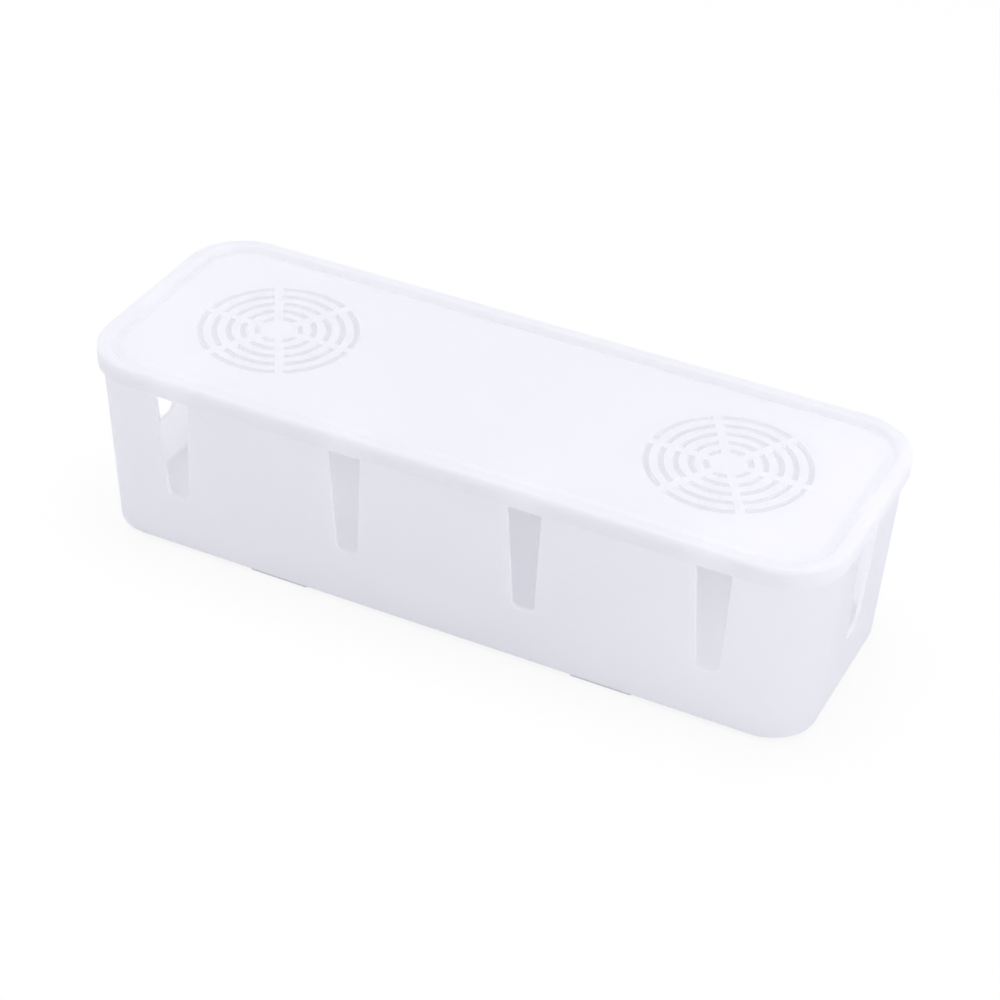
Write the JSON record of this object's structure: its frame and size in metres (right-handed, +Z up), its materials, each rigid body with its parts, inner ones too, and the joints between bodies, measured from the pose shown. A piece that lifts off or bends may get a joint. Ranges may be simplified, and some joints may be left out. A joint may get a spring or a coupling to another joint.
{
  "type": "cable management box",
  "caption": "Long round-cornered plastic box that hides a power strip: a tapered tray with cable slots in its front and ends, under a lift-off lid with a shallow groove and round slit vents.",
  "frame": {"origin": "centre of the footprint, on the surface that the feet stand on", "axes": "+X along the box's length to the viewer's right, -Y out of the long wall that faces the viewer, +Z up through the lid"},
  "size_m": [0.32, 0.1152, 0.0862],
  "materials": {
    "tray_plastic": "satin, as moulded",
    "lid_plastic": "satin, finely textured, as moulded",
    "foot_pads": "matte"
  },
  "bodies": {
    "tray_body": {"tray": "tray_plastic", "front_left_foot": "foot_pads", "front_right_foot": "foot_pads", "back_left_foot": "foot_pads", "back_right_foot": "foot_pads"},
    "lid_body": {"lid": "lid_plastic"}
  },
  "joints": [
    {"name": "lid_lift", "type": "slide", "parent": "tray_body", "child": "lid_body", "axis": [0, 0, 1], "range_m": [0, 0.12]}
  ]
}
